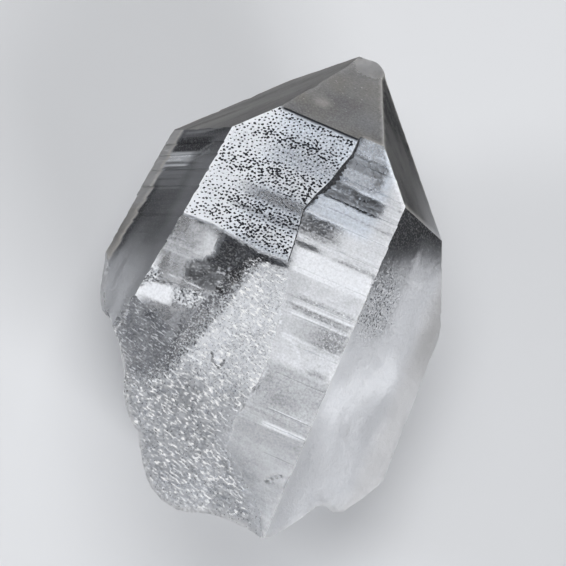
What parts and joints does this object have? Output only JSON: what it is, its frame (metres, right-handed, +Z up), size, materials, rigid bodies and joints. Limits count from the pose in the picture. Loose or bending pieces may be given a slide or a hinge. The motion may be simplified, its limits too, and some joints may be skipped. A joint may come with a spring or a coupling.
{
  "type": "quartz crystal point",
  "caption": "Single clear-to-milky quartz point with ladder-like growth lines, a raised speckled layer and a broken base, lying on one prism face.",
  "frame": {"origin": "on the surface that the crystal rests on, under the middle of its bounding box", "axes": "+Y along the crystal's long axis towards the tip, +Z up, out of the front prism face, +X to the crystal's right"},
  "size_m": [0.0548, 0.0786, 0.0384],
  "materials": {
    "quartz": "clear to milky natural crystal, glossy faces with frosted and etched areas"
  },
  "bodies": {
    "root": {"quartz_crystal": "quartz"}
  },
  "joints": []
}
